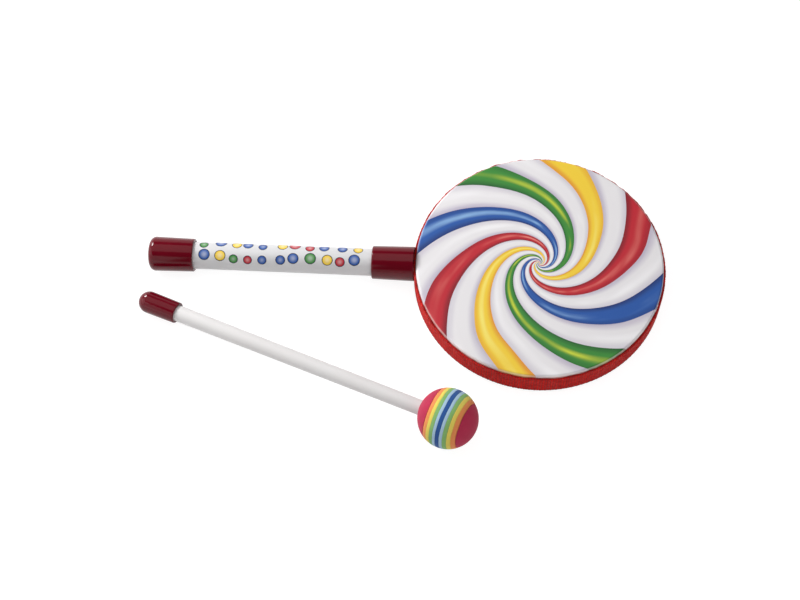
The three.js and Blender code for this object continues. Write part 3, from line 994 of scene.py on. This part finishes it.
def screw_profile(length, shank, head_outer):
    """From the pan head, whose face is at zero, up the thread to the point."""
    flat = head_outer * PAN_FLAT
    profile = [(0.0, 0.0), (flat, 0.0)]
    profile += arc(flat, SCREW_HEAD_HEIGHT * PAN_SHOULDER, head_outer - flat, -60, 0, PAN_STEPS)
    profile += [(head_outer, SCREW_HEAD_HEIGHT), (shank * SCREW_NECK, SCREW_HEAD_HEIGHT)]
    root = shank - THREAD_DEPTH
    flank = THREAD_PITCH * THREAD_FLANK
    turns = int((length - SCREW_HEAD_HEIGHT - SCREW_TIP) / THREAD_PITCH)
    for number in range(turns):
        base = SCREW_HEAD_HEIGHT + (number + THREAD_START) * THREAD_PITCH
        profile += [(root, base), (shank, base + flank), (root, base + 2 * flank)]
    return profile + [(root, length - SCREW_TIP), (0.0, length)]


def make_screws(steel):
    """Two screws from inside the hoop into the dowel."""
    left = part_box("handle_screw_left")
    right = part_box("handle_screw_right")
    left_middle = (left[0] + left[1]) / 2
    right_middle = (right[0] + right[1]) / 2
    spacing = (right_middle - left_middle).length
    head_face = left[1].x
    length = left[1].x - left[0].x
    head_outer = (left[1].z - left[0].z) / 2
    one_axis = Axis(left_middle, (-1, 0, 0))
    shank = one_axis.extents("handle_screw_left").high_outer
    middle = (left_middle + right_middle) / 2
    place = Axis((head_face, middle.y, middle.z), (-1, 0, 0)).place()
    profile = screw_profile(length, shank, head_outer)
    single = turned("screw_blank", profile, Matrix(), [steel], SCREW_SIDES)
    blank = single.data
    bpy.data.objects.remove(single)
    values = {
        "recess_length": SCREW_RECESS_LENGTH,
        "recess_width": SCREW_RECESS_WIDTH,
        "recess_depth": SCREW_RECESS_DEPTH,
        "spacing": spacing,
        "material": steel.material,
    }
    piece = screw_growth().grow("handle_screws", place, values, blank)
    settle(piece, "drum", "plated_steel", "handle_screw_left", "handle_screw_right")


def make_washers(steel):
    """A washer under each screw's head, with its edge eased on the side that shows."""
    ease = WASHER_EASE
    for side in ("left", "right"):
        node = "screw_washer_" + side
        low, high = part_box(node)
        middle = (low + high) / 2
        axis = Axis((high.x, middle.y, middle.z), (-1, 0, 0))
        ring = axis.extents(node)
        profile = [
            (ring.inner, ring.low + ease), (ring.inner + ease, ring.low), (ring.outer - ease, ring.low),
            (ring.outer, ring.low + ease), (ring.outer, ring.high), (ring.inner, ring.high)]
        washer = turned("washer_" + side, profile, axis.place(), [steel], WASHER_SIDES)
        settle(washer, "drum", "plated_steel", node)


def dress_plug(wood):
    """The dowel inside the tube is right as it is, and gets its grain."""
    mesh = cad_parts["handle_plug"].data
    mesh.materials.clear()
    mesh.materials.append(wood.material)


# Pieces of the mallet

def make_stick(plastic):
    """The tapered tube that the ball is glued on."""
    profile = pipe_profile(MALLET.extents("mallet_stick"), TUBE_EASE)
    piece = turned("stick", profile, MALLET.place(), [plastic], STICK_SIDES)
    settle(piece, "mallet", "white_plastic", "mallet_stick")


def make_grip_cap(vinyl):
    """The domed cap on the stick's grip end."""
    cap = MALLET.extents("mallet_grip_cap")
    stick = MALLET.extents("mallet_stick")
    bore = stick.low_outer + CAP_FIT
    dome = cap.low + cap.outer
    lip = (cap.high_outer - bore) / 2
    profile = arc(0.0, dome, cap.outer, -90, 0, DOME_STEPS)
    profile[0] = (0.0, cap.low)
    profile += arc(bore + lip, cap.high - lip, lip, 0, 180, CAP_LIP_STEPS)
    profile += arc(0.0, dome, bore, 0, -90, DOME_BORE_STEPS)
    profile[-1] = (0.0, dome - bore)
    piece = turned("grip_cap_vinyl", profile, MALLET.place(), [vinyl], STICK_SIDES)
    settle(piece, "mallet", "red_vinyl", "mallet_grip_cap")


def foam_growth():
    """One sheet of the ball: the zone of a sphere between two heights, with flat glued faces.

    A walk goes out over the lower face, up the round outside and back over the upper face. Its edges wander
    a little, alike on both sides of a glue line. The stick's hole is then cut along its own lean.
    """
    sheet = Growth(
        "foam_sheet", ball=float, low=float, high=float, edge=float, sides=int, rings=int,
        bore=float, bore_low=float, bore_high=float, bore_sides=int, lean=Vector,
        wander=float, wander_scale=float, material=bpy.types.Material)
    ball = sheet.given("ball")
    grid = sheet.node(
        "GeometryNodeMeshGrid", {},
        {"Size X": 1.0, "Size Y": 2 * WALK_HALF, "Vertices X": sheet.given("sides") + 1,
         "Vertices Y": sheet.given("rings") + 1})
    across, walk, _ = sheet.parts(sheet.node("GeometryNodeInputPosition"))
    turn = across * TAU
    far = abs(walk)
    rise = sheet.least(far, 1.0) * sheet.maths("SIGN", walk)
    low_angle = sheet.maths("ARCSINE", sheet.given("low") / ball)
    high_angle = sheet.maths("ARCSINE", sheet.given("high") / ball)
    latitude = low_angle + (high_angle - low_angle) * (rise * 0.5 + 0.5)
    inward = sheet.least((WALK_HALF - far) * (1 / WALK_FACE), 1.0)
    even = sheet.maths("COSINE", latitude) * ball
    even_spot = sheet.round_spot(turn, even, sheet.maths("SINE", latitude) * ball)
    drift = (sheet.noise(even_spot, sheet.given("wander_scale"), 1.0) - 0.5) * sheet.given("wander")
    latitude = latitude + drift * even * inward / (ball * ball)
    groove = sheet.ease(far, FOAM_EDGE_FROM, 1.0) * sheet.given("edge")
    outside = sheet.most(sheet.maths("COSINE", latitude) * ball - groove, 0.0)
    spot = sheet.round_spot(turn, outside * inward, sheet.maths("SINE", latitude) * ball)
    placed = sheet.node("GeometryNodeSetPosition", {}, {"Geometry": grid, "Position": spot})
    solid = sheet.node("GeometryNodeMergeByDistance", {}, {"Geometry": placed, "Distance": FOAM_MERGE})

    bore_low = sheet.given("bore_low")
    bore_high = sheet.given("bore_high")
    drill = sheet.node(
        "GeometryNodeMeshCylinder", {},
        {"Vertices": sheet.given("bore_sides"), "Radius": sheet.given("bore"), "Depth": bore_high - bore_low})
    drill = sheet.node(
        "GeometryNodeTransform", {},
        {"Geometry": drill, "Translation": sheet.vector(0.0, 0.0, (bore_low + bore_high) / 2)})
    aim = sheet.node("FunctionNodeAlignRotationToVector", {"axis": "Z"}, {"Vector": sheet.given("lean")})
    drill = sheet.node("GeometryNodeTransform", {}, {"Geometry": drill, "Rotation": aim})
    sheet.end(sheet.node("GeometryNodeMeshBoolean", sheet.CUT_AWAY, {0: solid, 1: drill}))
    return sheet


FOAM_COLOURS = {
    "magenta": (srgb(196, 42, 82), srgb(171, 28, 62)),
    "orange": (srgb(246, 154, 90), srgb(230, 131, 70)),
    "yellow": (srgb(241, 221, 101), srgb(225, 199, 81)),
    "green": (srgb(143, 192, 115), srgb(119, 170, 98)),
    "sky": (srgb(178, 208, 230), srgb(156, 188, 215)),
    "blue": (srgb(40, 90, 160), srgb(30, 70, 136)),
}


def make_ball():
    """The foam ball: eleven glued sheets, bored for the stick's tip as far as it reaches."""
    growth = foam_growth()
    stick = MALLET.extents("mallet_stick")
    to_middle = (SHEETS.start - MALLET.start).dot(MALLET.direction)
    lean = SHEETS.place().to_3x3().inverted() @ MALLET.direction
    for colour, (light, deep) in FOAM_COLOURS.items():
        finish = foam("foam_" + colour, light, deep)
        for node in BALL_NODES:
            if colour not in node.split("_"):
                continue
            extents = SHEETS.extents(node)
            low = extents.low - GLUE_CLOSE
            high = extents.high + GLUE_CLOSE
            if node.startswith("ball_end"):
                low, high = (low, BALL_RADIUS) if low > 0 else (-BALL_RADIUS, high)
            values = {
                "ball": BALL_RADIUS,
                "low": low,
                "high": high,
                "edge": FOAM_EDGE,
                "sides": BALL_SIDES,
                "rings": BALL_RINGS,
                "bore": stick.high_outer + BORE_EASE,
                "bore_low": -2 * BALL_RADIUS,
                "bore_high": stick.high - to_middle + BORE_EASE,
                "bore_sides": BORE_SIDES,
                "lean": lean,
                "wander": FOAM_WANDER,
                "wander_scale": float(FOAM_WANDER_SCALE),
                "material": finish.material,
            }
            piece = growth.grow(node.replace("ball_", "foam_"), SHEETS.place(), values)
            settle(piece, "mallet", "foam_" + colour, node)


# Studio

FLOOR_SIZE = 40
FLOOR_DROP = 0.2 * MM
FLOOR_GLOW = 0.89
FLOOR_NEAR = 0.5
FLOOR_FAR = 1.2
FLOOR_SHADE = srgb(146, 146, 146)
FLOOR_BOUNCE = srgb(214, 214, 214)
WORLD_LIGHT = 0.11
WORLD_DARK = 0.08
WALL_TOP = 0.22
WALL_BLUR = 0.24
WALL_SLOPE = 0.16

# Each lamp's place, what it is aimed at, its width, its depth and its radiance
LAMPS = {
    "key": ((-1.17, 0.95, 0.92), (-0.10, 0.00, 0.0), 0.50, 0.50, 30.0),
    "overhead": ((-0.05, 0.40, 1.30), (-0.05, 0.40, 0.0), 2.60, 1.30, 0.9),
    "front_left": ((-1.10, -1.25, 0.75), (-0.25, 0.00, 0.0), 1.40, 1.30, 0.95),
    "left_side": ((-1.50, -0.10, 0.75), (0.00, 0.00, 0.0), 1.10, 0.90, 1.6),
    "right_side": ((1.00, -1.10, 0.55), (0.10, 0.00, 0.0), 0.90, 0.70, 2.3),
}


def seen_rays(graph):
    """1 for what the camera sees, also in a mirror or through glass."""
    camera, glossy, passing = graph.outputs(
        "ShaderNodeLightPath", {}, {}, "Is Camera Ray", "Is Glossy Ray", "Is Transmission Ray")
    return graph.most(graph.most(camera, glossy), passing)


def make_floor():
    """White paper that takes the object's shadow, and reads as white elsewhere and far from the lamps."""
    paper = Finish("white_paper", {"Roughness": 0.9, "Base Color": FLOOR_BOUNCE})
    glow = paper.node("ShaderNodeEmission", {}, {"Strength": FLOOR_GLOW})
    shaded = paper.node("ShaderNodeBsdfDiffuse", {}, {"Color": FLOOR_SHADE})
    surface = Socket(paper, paper.shader.outputs[0])
    near = paper.node("ShaderNodeAddShader", {}, {0: shaded, 1: glow})
    white = paper.node("ShaderNodeEmission", {}, {"Strength": 1.0})
    reach = paper.vector_maths("LENGTH", paper.where(), output="Value")
    far_off = paper.ease(reach, FLOOR_NEAR, FLOOR_FAR)
    paper_look = paper.node("ShaderNodeMixShader", {}, {0: far_off, 1: near, 2: white})
    shown = paper.node("ShaderNodeMixShader", {}, {0: seen_rays(paper), 1: surface, 2: paper_look})
    paper.feed(paper.tree.nodes["Material Output"].inputs[0], shown)
    mesh = bpy.data.meshes.new("floor")
    half = FLOOR_SIZE / 2
    mesh.from_pydata(
        [(-half, -half, -FLOOR_DROP), (half, -half, -FLOOR_DROP), (half, half, -FLOOR_DROP),
         (-half, half, -FLOOR_DROP)], [], [(0, 1, 2, 3)])
    mesh.materials.append(paper.material)
    floor = add_object("floor", mesh)


def make_world():
    """A pale room, dark in its upper part, that fills the shadows evenly."""
    world = bpy.data.worlds.new("studio")
    world.use_nodes = True
    bpy.context.scene.world = world
    room = Graph(world.node_tree)
    _, depth, height = room.parts(room.node("ShaderNodeTexCoord", {}, {}, "Generated"))
    ceiling = room.ease(height - depth * WALL_SLOPE, WALL_TOP, WALL_TOP + WALL_BLUR)
    pale, dark, fill = [
        room.node("ShaderNodeBackground", {}, {"Color": (1, 1, 1, 1), "Strength": strength})
        for strength in (1.0, WORLD_DARK, WORLD_LIGHT)
    ]
    shown = room.node("ShaderNodeMixShader", {}, {0: ceiling, 1: pale, 2: dark})
    whole = room.node("ShaderNodeMixShader", {}, {0: seen_rays(room), 1: fill, 2: shown})
    room.feed(world.node_tree.nodes["World Output"].inputs[0], whole)


def softbox(name, place, aim, width, depth, radiance):
    """A lamp of even brightness: radiance 1 shows white in a mirror."""
    lamp = bpy.data.lights.new(name, "AREA")
    lamp.shape = "RECTANGLE"
    lamp.size = width
    lamp.size_y = depth
    lamp.energy = radiance * math.pi * width * depth
    stand = add_object(name, lamp)
    stand.location = place
    stand.rotation_mode = "QUATERNION"
    stand.rotation_quaternion = (Vector(aim) - Vector(place)).to_track_quat("-Z", "Y")
    stand.visible_camera = False


def make_lights():
    """A small key lamp behind on the left, which gives the sparkle, and wide panels of even brightness."""
    for name, lamp in LAMPS.items():
        softbox(name, *lamp)


def make_camera():
    """At the photograph's place, with its roll and no shift."""
    elevation = CAMERA_ELEVATION
    azimuth = CAMERA_AZIMUTH
    back = Vector((
        math.sin(azimuth) * math.cos(elevation), -math.cos(azimuth) * math.cos(elevation),
        math.sin(elevation)))
    right = Vector((math.cos(azimuth), math.sin(azimuth), 0))
    up = back.cross(right)
    across = right * math.cos(CAMERA_ROLL) + up * math.sin(CAMERA_ROLL)
    above = up * math.cos(CAMERA_ROLL) - right * math.sin(CAMERA_ROLL)
    data = bpy.data.cameras.new("photograph")
    data.sensor_fit = "HORIZONTAL"
    data.sensor_width = SENSOR_WIDTH
    data.lens = FOCAL_PIXELS / IMAGE_WIDTH * SENSOR_WIDTH
    data.clip_end = CAMERA_REACH
    camera = add_object("photograph", data)
    turn = Matrix((across, above, back)).transposed()
    camera.rotation_mode = "QUATERNION"
    camera.rotation_quaternion = turn.to_quaternion()
    camera.location = DRUM.start + CAMERA_FROM_DRUM
    bpy.context.scene.camera = camera


def main():
    make_camera()
    make_floor()
    make_world()
    make_lights()
    bpy.context.scene.view_settings.view_transform = "Standard"
    vinyl = red_vinyl()
    steel = plated_steel()
    make_shell(fibreboard())
    make_head(printed_film(), film_back())
    make_webbing(red_webbing())
    make_tube(dotted_tube())
    make_caps(vinyl)
    make_screws(steel)
    make_washers(steel)
    dress_plug(dowel_wood())
    make_stick(satin_plastic("stick_plastic", srgb(229, 225, 224)))
    make_grip_cap(vinyl)
    make_ball()


main()
